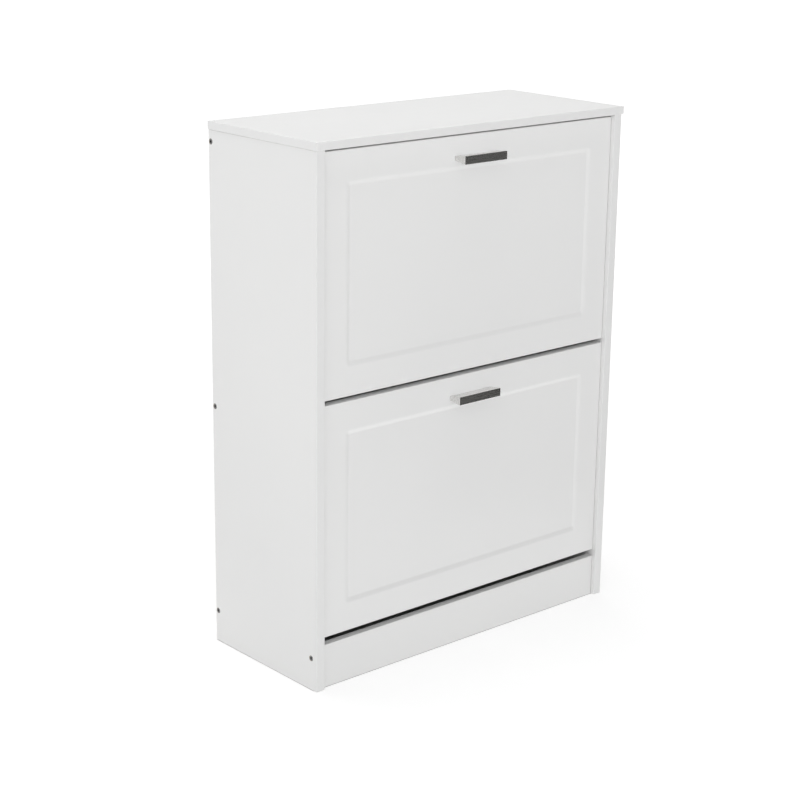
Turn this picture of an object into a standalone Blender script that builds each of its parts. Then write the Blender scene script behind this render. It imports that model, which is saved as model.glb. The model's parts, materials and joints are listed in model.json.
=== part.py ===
"""Tip-out shoe cabinet: a board carcass with two doors that tilt forward, each carrying a shoe rack.

Units are metres and +Z is up. X runs across the width, and -Y is the front.
The origin is on the floor, under the middle of the whole cabinet with its handles.
Each door and its rack hang on an empty that lies on the door's tilt axis, and their
pieces are placed from that axis.
"""
import math

import bmesh
import bpy
from mathutils import Matrix, Vector

# Overall size, without the handles.
WIDTH = 0.600
DEPTH = 0.250
HEIGHT = 0.800

# Gap kept wherever two pieces touch, and how far a cutter runs past the face it opens.
GAP = 0.0003
OVERSHOOT = 0.002
ROUND_STEPS = 16

# Carcass boards.
SIDE_BOARD = 0.015
TOP_BOARD = 0.012
RAIL_BOARD = 0.012
BOARD_EDGE = 0.0008
TOP_SIDE_LIP = 0.0015
TOP_FRONT_LIP = 0.003
RAIL_HEIGHT = 0.067
MIDDLE_RAIL_TOP = 0.394
BACK_THICK = 0.003
BACK_EDGE = 0.0003
BACK_GROOVE_DEPTH = 0.005
BACK_FLOOR_GAP = 0.002

# Doors, measured along Z from the floor.
DOOR_RECESS = 0.007
DOOR_THICK = 0.015
DOOR_HEIGHT = 0.349
DOOR_SIDE_GAP = 0.0006
LOWER_DOOR_BOTTOM = 0.0788
DOOR_PITCH = 0.3562
PANEL_INSET = 0.042
PANEL_SLOPE = 0.009
PANEL_DEPTH = 0.0025
DOOR_EDGE = 0.001

# Tilt axis, from the door's front face and from its bottom edge.
PIVOT_INWARD = 0.023
PIVOT_RISE = 0.040
TILT_DEGREES = 45.0

# Shoe rack, in side view from the tilt axis.
CHEEK_THICK = 0.005
CHEEK_SIDE_GAP = 0.0035
CHEEK_DROP = 0.0193
CHEEK_REACH = 0.195
CHEEK_RADIUS = 0.283
CHEEK_ARC_STEPS = 16
FLANGE_WIDTH = 0.016
FLANGE_THICK = 0.004
FLANGE_BOTTOM = 0.012
FLANGE_TOP = 0.262
FLANGE_SCREW_EDGE = 0.006
FLANGE_SCREW_END = 0.030
RACK_BOARD = 0.009
RACK_GROOVE = 0.0025
RACK_FLOOR_TOP = -0.007
DIVIDER_FRONT = 0.088
DIVIDER_TOP = 0.200
RACK_BACK_FRONT = 0.183
RACK_BACK_TOP = 0.185

# Pivot pins and stop pins, which stand in the side panels.
PIN_SINK = 0.008
PIVOT_RADIUS = 0.004
PIVOT_COLLAR_RADIUS = 0.007
PIVOT_COLLAR_THICK = 0.0028
STOP_RADIUS = 0.003
STOP_SWING_RADIUS = 0.070
PIN_PROUD = 0.0007
SLOT_STEPS = 14
SLOT_END_STEPS = 6

# Handle: a hooded bar that is taller at its front than at the door.
HANDLE_LENGTH = 0.083
HANDLE_FRONT_HEIGHT = 0.0125
HANDLE_BACK_HEIGHT = 0.0065
HANDLE_TOP_SLOPE = 0.0025
HANDLE_PROJECTION = 0.022
HANDLE_WALL = 0.002
HANDLE_EDGE = 0.0006
HANDLE_DROP = 0.0258
HANDLE_HOLE_PITCH = 0.064
BOSS_WIDTH = 0.008
BOSS_DEPTH = 0.012

# Fasteners: head radius, head height, shank radius, whole length.
PANEL_SCREW = (0.0040, 0.0030, 0.0025, 0.0440)
RACK_SCREW = (0.0035, 0.0022, 0.0017, 0.0140)
HANDLE_SCREW = (0.0035, 0.0022, 0.0019, 0.0260)
SOCKET_DEPTH = 0.0016
SCREW_BELOW_RAIL_TOP = 0.017

# Cam fittings: a bolt hangs from the top board, and a slotted disc in the side panel grips its head.
CAM_RADIUS = 0.0060
CAM_DEPTH = 0.0110
CAM_BELOW_TOP = 0.024
CAM_BOLT_RADIUS = 0.0030
CAM_NECK_RADIUS = 0.0016
CAM_HEAD_THICK = 0.0025
CAM_HEAD_DROP = 0.002
CAM_BOLT_IN_TOP = 0.008
CAM_BOLT_TIP = 0.001
CAM_ROWS = (("front", -0.070), ("rear", 0.080))

# Places worked out from the dimensions above.
HANDLE_PAST_TOP = HANDLE_PROJECTION - DOOR_RECESS - TOP_FRONT_LIP
FRONT = HANDLE_PAST_TOP - (DEPTH + HANDLE_PAST_TOP) / 2
BACK = FRONT + DEPTH
SIDE_FRONT = FRONT + TOP_FRONT_LIP
SIDE_OUTER = WIDTH / 2 - TOP_SIDE_LIP
SIDE_INNER = SIDE_OUTER - SIDE_BOARD
TOP_UNDERSIDE = HEIGHT - TOP_BOARD
SIDE_TOP = TOP_UNDERSIDE - GAP
DOOR_FACE = SIDE_FRONT + DOOR_RECESS
DOOR_HALF_WIDTH = SIDE_INNER - DOOR_SIDE_GAP
PIVOT_Y = DOOR_FACE + PIVOT_INWARD
RAIL_HALF_WIDTH = SIDE_INNER - GAP
REAR_RAIL_FRONT = BACK - RAIL_BOARD
BACK_PANEL_REAR = REAR_RAIL_FRONT - GAP
BACK_PANEL_FRONT = BACK_PANEL_REAR - BACK_THICK
CHEEK_OUTER = SIDE_INNER - CHEEK_SIDE_GAP
CHEEK_INNER = CHEEK_OUTER - CHEEK_THICK
DOOR_BACK = DOOR_THICK - PIVOT_INWARD
DOOR_TOP = DOOR_HEIGHT - PIVOT_RISE
CHEEK_FRONT = DOOR_BACK + GAP
FLANGE_BACK = CHEEK_FRONT + FLANGE_THICK
HANDLE_TOP = DOOR_TOP - HANDLE_DROP
SIDES = (("left", -1), ("right", 1))


def clear_scene():
    for item in list(bpy.data.objects):
        bpy.data.objects.remove(item, do_unlink=True)


def material(name, colour, roughness, metallic=0.0):
    finish = bpy.data.materials.new(name)
    finish.use_nodes = True
    shader = finish.node_tree.nodes["Principled BSDF"]
    shader.inputs["Base Color"].default_value = (*colour, 1.0)
    shader.inputs["Roughness"].default_value = roughness
    shader.inputs["Metallic"].default_value = metallic
    return finish


def place(name, shape, finish, location=(0, 0, 0), rotation=(0, 0, 0), parent=None):
    """Turns a bmesh into a named object, and frees the bmesh."""
    mesh = bpy.data.meshes.new(name)
    shape.to_mesh(mesh)
    shape.free()
    piece = bpy.data.objects.new(name, mesh)
    bpy.context.collection.objects.link(piece)
    if finish is not None:
        mesh.materials.append(finish)
    piece.location = location
    piece.rotation_euler = rotation
    piece.parent = parent
    return piece


def axis_empty(name, location):
    empty = bpy.data.objects.new(name, None)
    bpy.context.collection.objects.link(empty)
    empty.location = location
    return empty


def add_box(shape, low, high):
    low, high = Vector(low), Vector(high)
    size = Matrix.Diagonal((*(high - low), 1.0))
    bmesh.ops.create_cube(shape, size=1.0, matrix=Matrix.Translation((low + high) / 2) @ size)


def add_rod(shape, start, end, radius):
    start, end = Vector(start), Vector(end)
    along = (end - start).to_track_quat("Z", "Y").to_matrix().to_4x4()
    bmesh.ops.create_cone(shape, cap_ends=True, segments=ROUND_STEPS, radius1=radius, radius2=radius,
                          depth=(end - start).length, matrix=Matrix.Translation((start + end) / 2) @ along)


def add_prism(shape, outline, direction):
    """Extrudes a flat closed outline along a direction."""
    base = shape.faces.new([shape.verts.new(point) for point in outline])
    grown = bmesh.ops.extrude_face_region(shape, geom=[base])
    moved = [item for item in grown["geom"] if isinstance(item, bmesh.types.BMVert)]
    bmesh.ops.translate(shape, verts=moved, vec=direction)
    bmesh.ops.recalc_face_normals(shape, faces=shape.faces)


def bevel(piece, width, segments=1):
    edge = piece.modifiers.new("Edges", "BEVEL")
    edge.width = width
    edge.segments = segments
    edge.limit_method = "ANGLE"


def board(name, low, high, finish, parent=None, edge=BOARD_EDGE):
    """A flat board between two corners, with its origin at its middle."""
    low, high = Vector(low), Vector(high)
    half = (high - low) / 2
    shape = bmesh.new()
    add_box(shape, -half, half)
    piece = place(name, shape, finish, (low + high) / 2, parent=parent)
    bevel(piece, edge)
    return piece


def combine(piece, shape, operation="DIFFERENCE"):
    """Cuts a hidden closed shape out of a piece, or joins it on."""
    count = len(piece.modifiers)
    tool = place(f"{piece.name}_tool_{count}", shape, None, parent=piece.parent)
    tool.hide_render = True
    tool.display_type = "WIRE"
    boolean = piece.modifiers.new(f"{operation.title()} {count}", "BOOLEAN")
    boolean.operation = operation
    boolean.object = tool


def cut_rods(piece, rods):
    """Drills round holes, each given as start, end and radius."""
    shape = bmesh.new()
    for start, end, radius in rods:
        add_rod(shape, start, end, radius)
    combine(piece, shape)


def cut_boxes(piece, boxes):
    """Cuts square grooves, each given as two corners."""
    shape = bmesh.new()
    for low, high in boxes:
        add_box(shape, low, high)
    combine(piece, shape)


def turned(name, profile, finish, location, direction, parent=None):
    """Turns a profile of (radius, distance) about an axis that points along direction."""
    shape = bmesh.new()
    points = [shape.verts.new((radius, 0, distance)) for radius, distance in profile]
    lines = [shape.edges.new(pair) for pair in zip(points, points[1:])]
    bmesh.ops.spin(shape, geom=points + lines, cent=(0, 0, 0), axis=(0, 0, 1), angle=math.tau,
                   steps=ROUND_STEPS, use_merge=True)
    bmesh.ops.remove_doubles(shape, verts=shape.verts, dist=0.00001)
    bmesh.ops.recalc_face_normals(shape, faces=shape.faces)
    turn = Vector(direction).to_track_quat("Z", "Y").to_euler()
    piece = place(name, shape, finish, location, turn, parent)
    piece.data.shade_smooth()
    piece.data.set_sharp_from_angle(angle=math.radians(35))
    return piece


def screw(name, sizes, finish, location, direction, parent=None):
    """A screw whose head starts at location, with a round socket and a tapered tip."""
    head, head_height, shank, length = sizes
    socket = head * 0.5
    profile = [(0, SOCKET_DEPTH), (socket, SOCKET_DEPTH), (socket, 0), (head, 0), (head, head_height),
               (shank, head_height), (shank, length - 2 * shank), (0, length)]
    return turned(name, profile, finish, location, direction, parent)


def side_panels(finish):
    """The two side panels, grooved for the back panel. The groove runs out at both ends."""
    panels = {}
    for side, sign in SIDES:
        low_x, high_x = sorted((sign * SIDE_INNER, sign * SIDE_OUTER))
        panel = board(f"{side}_side_panel", (low_x, SIDE_FRONT, 0), (high_x, BACK, SIDE_TOP), finish)
        groove_x = sorted((sign * (SIDE_INNER + BACK_GROOVE_DEPTH), sign * (SIDE_INNER - OVERSHOOT)))
        cut_boxes(panel, [((groove_x[0], BACK_PANEL_FRONT - GAP, -OVERSHOOT),
                           (groove_x[1], BACK_PANEL_REAR + GAP, HEIGHT))])
        panels[sign] = panel
    return panels


def rails(finish):
    """The plinth and the three rear rails are the same board at four places."""
    places = {
        "plinth": (DOOR_FACE, 0.0),
        "rear_bottom_rail": (REAR_RAIL_FRONT, 0.0),
        "rear_middle_rail": (REAR_RAIL_FRONT, MIDDLE_RAIL_TOP - RAIL_HEIGHT),
        "rear_top_rail": (REAR_RAIL_FRONT, SIDE_TOP - RAIL_HEIGHT),
    }
    made = {}
    for name, (front, bottom) in places.items():
        piece = board(name, (-RAIL_HALF_WIDTH, front, bottom),
                      (RAIL_HALF_WIDTH, front + RAIL_BOARD, bottom + RAIL_HEIGHT), finish)
        made[name] = (piece, front + RAIL_BOARD / 2, bottom + RAIL_HEIGHT - SCREW_BELOW_RAIL_TOP)
    return made


def panel_screws(panels, rail_places, finish):
    """One long screw through a side panel into each end of each rail."""
    head, head_height, shank, length = PANEL_SCREW
    for side, sign in SIDES:
        inward = Vector((-sign, 0, 0))
        heads = []
        shanks = []
        for name, (rail, y, z) in rail_places.items():
            start = Vector((sign * SIDE_OUTER, y, z))
            screw(f"panel_screw_{side}_{name.removesuffix('_rail')}", PANEL_SCREW, finish, start, inward)
            heads.append((start - inward * OVERSHOOT, start + inward * (head_height + GAP), head + GAP))
            shanks.append((start, start + inward * (SIDE_BOARD + OVERSHOOT), shank + GAP))
            cut_rods(rail, [(start + inward * SIDE_BOARD / 2, start + inward * (length + GAP), shank + GAP)])
        cut_rods(panels[sign], heads)
        cut_rods(panels[sign], shanks)


def cam_bolt(name, location, steel):
    """A waisted bolt, head down, whose upper end stands in the top board."""
    head_to_top = CAM_BELOW_TOP + CAM_HEAD_DROP
    shoulder = head_to_top - CAM_BOLT_TIP
    end = head_to_top + CAM_BOLT_IN_TOP
    profile = [(0, 0), (CAM_BOLT_RADIUS, 0), (CAM_BOLT_RADIUS, CAM_HEAD_THICK),
               (CAM_NECK_RADIUS, CAM_HEAD_THICK), (CAM_NECK_RADIUS, shoulder), (CAM_BOLT_RADIUS, shoulder),
               (CAM_BOLT_RADIUS, end), (0, end + CAM_BOLT_TIP)]
    turned(name, profile, steel, location, (0, 0, 1))


def cam_disc(name, location, sign, clearance, steel):
    """A round disc set in the side panel's inner face, open from above for the bolt."""
    disc = turned(name, [(0, 0), (CAM_RADIUS, 0), (CAM_RADIUS, CAM_DEPTH), (0, CAM_DEPTH)],
                  steel, location, (sign, 0, 0))
    bolt_x = sign * (SIDE_INNER + SIDE_OUTER) / 2
    notch_x = sorted((bolt_x - sign * clearance, location[0] + sign * (CAM_DEPTH + OVERSHOOT)))
    notch = bmesh.new()
    add_box(notch, (notch_x[0], location[1] - clearance, location[2] - CAM_HEAD_DROP - 2 * GAP),
            (notch_x[1], location[1] + clearance, location[2] + CAM_RADIUS + OVERSHOOT))
    combine(disc, notch)


def top_and_cams(panels, finish, steel):
    """The top board, pulled down on the side panels by a bolt and a cam at each corner."""
    top = board("top_panel", (-WIDTH / 2, FRONT, TOP_UNDERSIDE), (WIDTH / 2, BACK, HEIGHT), finish)
    cam_z = TOP_UNDERSIDE - CAM_BELOW_TOP
    hole = CAM_BOLT_RADIUS + GAP
    hole_end = TOP_UNDERSIDE + CAM_BOLT_IN_TOP + CAM_BOLT_TIP + GAP
    for side, sign in SIDES:
        bolt_x = sign * (SIDE_INNER + SIDE_OUTER) / 2
        mouth = sign * SIDE_INNER
        floor = sign * (SIDE_INNER + CAM_DEPTH + GAP)
        for row, y in CAM_ROWS:
            cam_bolt(f"cam_bolt_{side}_{row}", (bolt_x, y, cam_z - CAM_HEAD_DROP), steel)
            cam_disc(f"cam_disc_{side}_{row}", (mouth, y, cam_z), sign, hole, steel)
            cut_rods(top, [((bolt_x, y, TOP_UNDERSIDE - OVERSHOOT), (bolt_x, y, hole_end), hole)])
            cut_rods(panels[sign], [((bolt_x, y, cam_z), (bolt_x, y, HEIGHT), hole)])
            disc_hole = ((mouth - sign * OVERSHOOT, y, cam_z), (floor, y, cam_z), CAM_RADIUS + GAP)
            cut_rods(panels[sign], [disc_hole])


def back_panel(finish):
    half = SIDE_INNER + BACK_GROOVE_DEPTH - GAP
    board("back_panel", (-half, BACK_PANEL_FRONT, BACK_FLOOR_GAP), (half, BACK_PANEL_REAR, SIDE_TOP),
          finish, edge=BACK_EDGE)


def door_panel(prefix, finish, axis):
    """The door front, with a sunk middle panel behind a sloping moulding."""
    rings = ((0, 0), (PANEL_INSET, 0), (PANEL_INSET + PANEL_SLOPE, PANEL_DEPTH))
    shape = bmesh.new()
    loops = []
    for inset, sink in rings:
        half = DOOR_HALF_WIDTH - inset
        low = inset - PIVOT_RISE
        high = DOOR_TOP - inset
        corners = ((-half, low), (half, low), (half, high), (-half, high))
        loops.append([shape.verts.new((x, sink - PIVOT_INWARD, z)) for x, z in corners])
    rear = [shape.verts.new((vert.co.x, DOOR_BACK, vert.co.z)) for vert in loops[0]]
    for outer, inner in zip([rear] + loops, loops):
        for index in range(4):
            after = (index + 1) % 4
            shape.faces.new((outer[index], outer[after], inner[after], inner[index]))
    shape.faces.new(loops[-1])
    shape.faces.new(list(reversed(rear)))
    bmesh.ops.recalc_face_normals(shape, faces=shape.faces)
    outer_edges = [edge for edge in shape.edges if all(vert in loops[0] for vert in edge.verts)]
    bmesh.ops.bevel(shape, geom=outer_edges, offset=DOOR_EDGE, segments=2, profile=0.5, affect="EDGES")
    return place(f"{prefix}_door_panel", shape, finish, parent=axis)


def handle(prefix, finish, axis):
    """A hooded bar: top plate, front lip and two end cheeks, open below, with two screw bosses."""
    half = HANDLE_LENGTH / 2
    face = -PIVOT_INWARD - GAP
    tip = -PIVOT_INWARD - HANDLE_PROJECTION
    back_top = HANDLE_TOP - HANDLE_TOP_SLOPE
    outline = [(-half, face, back_top), (-half, tip, HANDLE_TOP),
               (-half, tip, HANDLE_TOP - HANDLE_FRONT_HEIGHT), (-half, face, back_top - HANDLE_BACK_HEIGHT)]
    shape = bmesh.new()
    add_prism(shape, outline, (HANDLE_LENGTH, 0, 0))
    piece = place(f"{prefix}_handle", shape, finish, parent=axis)
    bevel(piece, HANDLE_EDGE)
    rear = face - HANDLE_WALL
    boss = face - BOSS_DEPTH
    near = (HANDLE_HOLE_PITCH - BOSS_WIDTH) / 2
    far = (HANDLE_HOLE_PITCH + BOSS_WIDTH) / 2
    end = half - HANDLE_WALL
    right_side = [(near, rear), (near, boss), (far, boss), (far, rear), (end, rear), (end, tip + HANDLE_WALL)]
    comb = [(x, y, back_top - HANDLE_WALL) for x, y in right_side]
    comb += [(-x, y, z) for x, y, z in reversed(comb)]
    hollow = bmesh.new()
    add_prism(hollow, comb, (0, 0, -HANDLE_FRONT_HEIGHT))
    combine(piece, hollow)
    return piece


def handle_fixings(prefix, door, grip, steel, axis):
    """Two screws from inside the door into the handle's bosses."""
    _, head_height, shank, length = HANDLE_SCREW
    z = HANDLE_TOP - HANDLE_TOP_SLOPE - HANDLE_BACK_HEIGHT / 2
    head_y = DOOR_BACK + head_height + GAP
    for side, sign in SIDES:
        x = sign * HANDLE_HOLE_PITCH / 2
        screw(f"{prefix}_handle_screw_{side}", HANDLE_SCREW, steel, (x, head_y, z), (0, -1, 0), axis)
        through = ((x, DOOR_BACK + OVERSHOOT, z), (x, -PIVOT_INWARD - OVERSHOOT, z), shank + GAP)
        blind = ((x, -PIVOT_INWARD + OVERSHOOT, z), (x, head_y - length - GAP, z), shank + GAP)
        cut_rods(door, [through])
        cut_rods(grip, [blind])


def polar(radius, angle):
    return radius * math.cos(angle), radius * math.sin(angle)


def cheek_outline():
    """Side view of a rack cheek: straight at the front, floor and rear, round at the top."""
    first = math.acos(CHEEK_REACH / CHEEK_RADIUS)
    last = math.acos(CHEEK_FRONT / CHEEK_RADIUS)
    outline = [(CHEEK_FRONT, -CHEEK_DROP), (CHEEK_REACH, -CHEEK_DROP)]
    for step in range(CHEEK_ARC_STEPS + 1):
        outline.append(polar(CHEEK_RADIUS, first + (last - first) * step / CHEEK_ARC_STEPS))
    return outline


def stop_slot_outline():
    """An arc about the tilt axis, as wide as the stop pin, with round ends."""
    width = STOP_RADIUS + GAP
    spare = GAP / STOP_SWING_RADIUS
    first = math.radians(90 - TILT_DEGREES) - spare
    last = math.radians(90) + spare
    runs = ((STOP_SWING_RADIUS + width, first, last, 0), (STOP_SWING_RADIUS - width, last, first, math.pi))
    outline = []
    for radius, start, end, turn in runs:
        for step in range(SLOT_STEPS + 1):
            outline.append(polar(radius, start + (end - start) * step / SLOT_STEPS))
        middle = polar(STOP_SWING_RADIUS, end)
        for step in range(1, SLOT_END_STEPS):
            y, z = polar(width, end + turn + math.pi * step / SLOT_END_STEPS)
            outline.append((middle[0] + y, middle[1] + z))
    return outline


def cheek_grooves(cheek, sign):
    """Three grooves in the cheek's inner face, for the rack's floor, divider and back."""
    x = sorted((sign * (CHEEK_INNER + RACK_GROOVE + GAP), sign * (CHEEK_INNER - OVERSHOOT)))
    floor_rear = RACK_BACK_FRONT + RACK_BOARD + GAP
    cut_boxes(cheek, [((x[0], CHEEK_FRONT + OVERSHOOT, RACK_FLOOR_TOP - RACK_BOARD - GAP),
                       (x[1], floor_rear, RACK_FLOOR_TOP + GAP))])
    uprights = ((DIVIDER_FRONT, DIVIDER_TOP), (RACK_BACK_FRONT, RACK_BACK_TOP))
    cut_boxes(cheek, [((x[0], front - GAP, RACK_FLOOR_TOP - GAP), (x[1], front + RACK_BOARD + GAP, top + GAP))
                      for front, top in uprights])


def cheek_fixings(prefix, side, sign, cheek, door, steel, axis):
    """Two screws through the cheek's flange into the door."""
    _, head_height, shank, length = RACK_SCREW
    x = sign * (CHEEK_INNER - FLANGE_WIDTH + FLANGE_SCREW_EDGE)
    head_y = FLANGE_BACK + head_height + GAP
    for level, z in (("low", FLANGE_BOTTOM + FLANGE_SCREW_END), ("high", FLANGE_TOP - FLANGE_SCREW_END)):
        screw(f"{prefix}_cheek_screw_{side}_{level}", RACK_SCREW, steel, (x, head_y, z), (0, -1, 0), axis)
        through = ((x, FLANGE_BACK + OVERSHOOT, z), (x, CHEEK_FRONT - OVERSHOOT, z), shank + GAP)
        blind = ((x, DOOR_BACK + OVERSHOOT, z), (x, head_y - length - GAP, z), shank + GAP)
        cut_rods(cheek, [through])
        cut_rods(door, [blind])


def rack_cheeks(prefix, finish, steel, axis, door):
    """Two moulded side cheeks, screwed to the door's rear through a flange."""
    for side, sign in SIDES:
        outer, inner = sign * CHEEK_OUTER, sign * CHEEK_INNER
        shape = bmesh.new()
        add_prism(shape, [(outer, y, z) for y, z in cheek_outline()], (inner - outer, 0, 0))
        cheek = place(f"{prefix}_rack_cheek_{side}", shape, finish, parent=axis)
        flange_x = sorted(((inner + outer) / 2, inner - sign * FLANGE_WIDTH))
        flange = bmesh.new()
        add_box(flange, (flange_x[0], CHEEK_FRONT, FLANGE_BOTTOM), (flange_x[1], FLANGE_BACK, FLANGE_TOP))
        combine(cheek, flange, "UNION")
        cheek_grooves(cheek, sign)
        start, end = outer + sign * OVERSHOOT, inner - sign * OVERSHOOT
        slot = bmesh.new()
        add_prism(slot, [(start, y, z) for y, z in stop_slot_outline()], (end - start, 0, 0))
        combine(cheek, slot)
        cut_rods(cheek, [((start, 0, 0), (end, 0, 0), PIVOT_RADIUS + GAP)])
        cheek_fixings(prefix, side, sign, cheek, door, steel, axis)


def rack_boards(prefix, finish, axis):
    """Floor, divider and back of the rack, let into the cheeks' grooves."""
    half = CHEEK_INNER + RACK_GROOVE
    board(f"{prefix}_rack_floor", (-half, CHEEK_FRONT + OVERSHOOT + GAP, RACK_FLOOR_TOP - RACK_BOARD),
          (half, RACK_BACK_FRONT + RACK_BOARD, RACK_FLOOR_TOP), finish, axis)
    uprights = (("divider", DIVIDER_FRONT, DIVIDER_TOP), ("back", RACK_BACK_FRONT, RACK_BACK_TOP))
    for part, front, top in uprights:
        board(f"{prefix}_rack_{part}", (-half, front, RACK_FLOOR_TOP + GAP),
              (half, front + RACK_BOARD, top), finish, axis)


def pins(prefix, panels, pivot_z, steel):
    """Collared pivot pins and plain stop pins, standing in blind holes in the side panels."""
    reach = SIDE_INNER - CHEEK_INNER + PIN_PROUD
    collar = PIVOT_COLLAR_THICK + GAP
    pivot_profile = [(0, -PIN_SINK), (PIVOT_RADIUS, -PIN_SINK), (PIVOT_RADIUS, GAP),
                     (PIVOT_COLLAR_RADIUS, GAP), (PIVOT_COLLAR_RADIUS, collar), (PIVOT_RADIUS, collar),
                     (PIVOT_RADIUS, reach), (0, reach)]
    stop_profile = [(0, -PIN_SINK), (STOP_RADIUS, -PIN_SINK), (STOP_RADIUS, reach), (0, reach)]
    kinds = (("pivot", pivot_profile, PIVOT_RADIUS, pivot_z),
             ("stop", stop_profile, STOP_RADIUS, pivot_z + STOP_SWING_RADIUS))
    for side, sign in SIDES:
        mouth = sign * SIDE_INNER
        for kind, profile, radius, z in kinds:
            turned(f"{prefix}_{kind}_pin_{side}", profile, steel, (mouth, PIVOT_Y, z), (-sign, 0, 0))
            cut_rods(panels[sign], [((mouth - sign * OVERSHOOT, PIVOT_Y, z),
                                     (mouth + sign * (PIN_SINK + GAP), PIVOT_Y, z), radius + GAP)])


def tip_out_door(prefix, door_bottom, panels, finishes):
    """One door with its handle, rack and pins, hung on its tilt axis."""
    white, plastic, satin, steel = finishes
    pivot_z = door_bottom + PIVOT_RISE
    axis = axis_empty(f"{prefix}_tilt_axis", (0, PIVOT_Y, pivot_z))
    door = door_panel(prefix, white, axis)
    grip = handle(prefix, satin, axis)
    handle_fixings(prefix, door, grip, steel, axis)
    rack_cheeks(prefix, plastic, steel, axis, door)
    rack_boards(prefix, white, axis)
    pins(prefix, panels, pivot_z, steel)


def build():
    clear_scene()
    white = material("white_board", (0.80, 0.80, 0.80), 0.45)
    back_white = material("back_board", (0.76, 0.76, 0.75), 0.6)
    plastic = material("rack_plastic", (0.045, 0.045, 0.047), 0.5)
    satin = material("handle_metal", (0.30, 0.31, 0.29), 0.3, 1.0)
    steel = material("screw_steel", (0.35, 0.35, 0.36), 0.35, 1.0)
    panels = side_panels(white)
    panel_screws(panels, rails(white), steel)
    top_and_cams(panels, white, steel)
    back_panel(back_white)
    for prefix, bottom in (("lower", LOWER_DOOR_BOTTOM), ("upper", LOWER_DOOR_BOTTOM + DOOR_PITCH)):
        tip_out_door(prefix, bottom, panels, (white, plastic, satin, steel))


build()
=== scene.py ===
"""Looks for the tip-out shoe cabinet: its boards, doors, racks and hardware, a pale studio and the camera.

Units are metres. Every place comes from the CAD nodes' boxes and the two tilt joints.
"""

import json
import math

import bmesh
import bpy
from mathutils import Matrix, Vector


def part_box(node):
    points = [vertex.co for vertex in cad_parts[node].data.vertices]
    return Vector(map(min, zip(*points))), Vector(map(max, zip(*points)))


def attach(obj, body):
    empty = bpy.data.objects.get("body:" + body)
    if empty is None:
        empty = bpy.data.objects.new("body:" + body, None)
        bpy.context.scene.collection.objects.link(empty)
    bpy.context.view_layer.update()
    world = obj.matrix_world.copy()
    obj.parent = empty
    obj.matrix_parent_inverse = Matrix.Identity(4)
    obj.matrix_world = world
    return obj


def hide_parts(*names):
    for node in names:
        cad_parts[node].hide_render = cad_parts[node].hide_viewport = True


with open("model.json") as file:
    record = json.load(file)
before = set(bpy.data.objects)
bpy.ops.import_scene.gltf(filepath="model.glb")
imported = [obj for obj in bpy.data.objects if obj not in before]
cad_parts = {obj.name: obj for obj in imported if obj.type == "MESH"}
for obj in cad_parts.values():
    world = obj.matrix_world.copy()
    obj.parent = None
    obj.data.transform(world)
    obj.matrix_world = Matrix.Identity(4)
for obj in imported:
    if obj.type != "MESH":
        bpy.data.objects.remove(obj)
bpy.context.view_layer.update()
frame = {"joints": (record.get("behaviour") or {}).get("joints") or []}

# Camera: where it stands (metres), which way it looks (degrees), its lens and sensor (millimetres).
CAMERA_PLACE = (-1.8544, -2.0645, 1.1878)
CAMERA_AZIMUTH = -41.256
CAMERA_ELEVATION = 16.618
CAMERA_ROLL = 0.729
CAMERA_LENS = 84.70
SENSOR_WIDTH = 36.0

# Clearance where two pieces touch, and how far a cutter runs past the face it opens.
GAP = 0.0003
OVERSHOOT = 0.002

# Steps round a rod or a turned piece, the least angle kept sharp on it, and how squarely a face must look
# along a direction to count as facing it.
ROUND_STEPS = 40
SHARP_DEGREES = 40
FLAT = 0.999

# Rounds on edges.
BOARD_ROUND = 0.0009
BACK_ROUND = 0.0004
DOOR_ROUND = 0.0005
HANDLE_ROUND = 0.0004
CHEEK_ROUND = 0.0006
ROUND_SEGMENTS = 3

# Door moulding, from the door's outline inwards.
DOOR_CORNER = 0.0010
PANEL_INSET = 0.042
PANEL_SLOPE = 0.009
PANEL_DEPTH = 0.0025
PANEL_CORNER = 0.007
MOULDING_STEPS = 8
CORNER_STEPS = 6

# Handle shell.
HANDLE_FRONT_HEIGHT = 0.0125
HANDLE_BACK_HEIGHT = 0.0065
HANDLE_TOP_SLOPE = 0.0025
HANDLE_WALL = 0.002
HANDLE_HOLE_PITCH = 0.064
BOSS_WIDTH = 0.008
BOSS_DEPTH = 0.012

# Rack cheek, in side view from the tilt axis.
CHEEK_THICK = 0.005
CHEEK_DROP = 0.0193
CHEEK_REACH = 0.195
CHEEK_RADIUS = 0.283
CHEEK_ARC_STEPS = 40
FLANGE_THICK = 0.004
FLANGE_BOTTOM = 0.012
FLANGE_TOP = 0.262
STOP_SWING_RADIUS = 0.070
SLOT_STEPS = 24
SLOT_END_STEPS = 8
POCKET_DEPTH = 0.0016
POCKET_DRAFT = 0.0008
POCKET_INNER_RADIUS = 0.086
POCKET_OUTER_RADIUS = 0.275
POCKET_REAR = 0.188
POCKET_COUNT = 5
POCKET_STEPS = 10
POCKET_FIRST_DEGREES = 2.0
POCKET_LAST_DEGREES = 88.0
RIB_WIDTH = 0.0032

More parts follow.
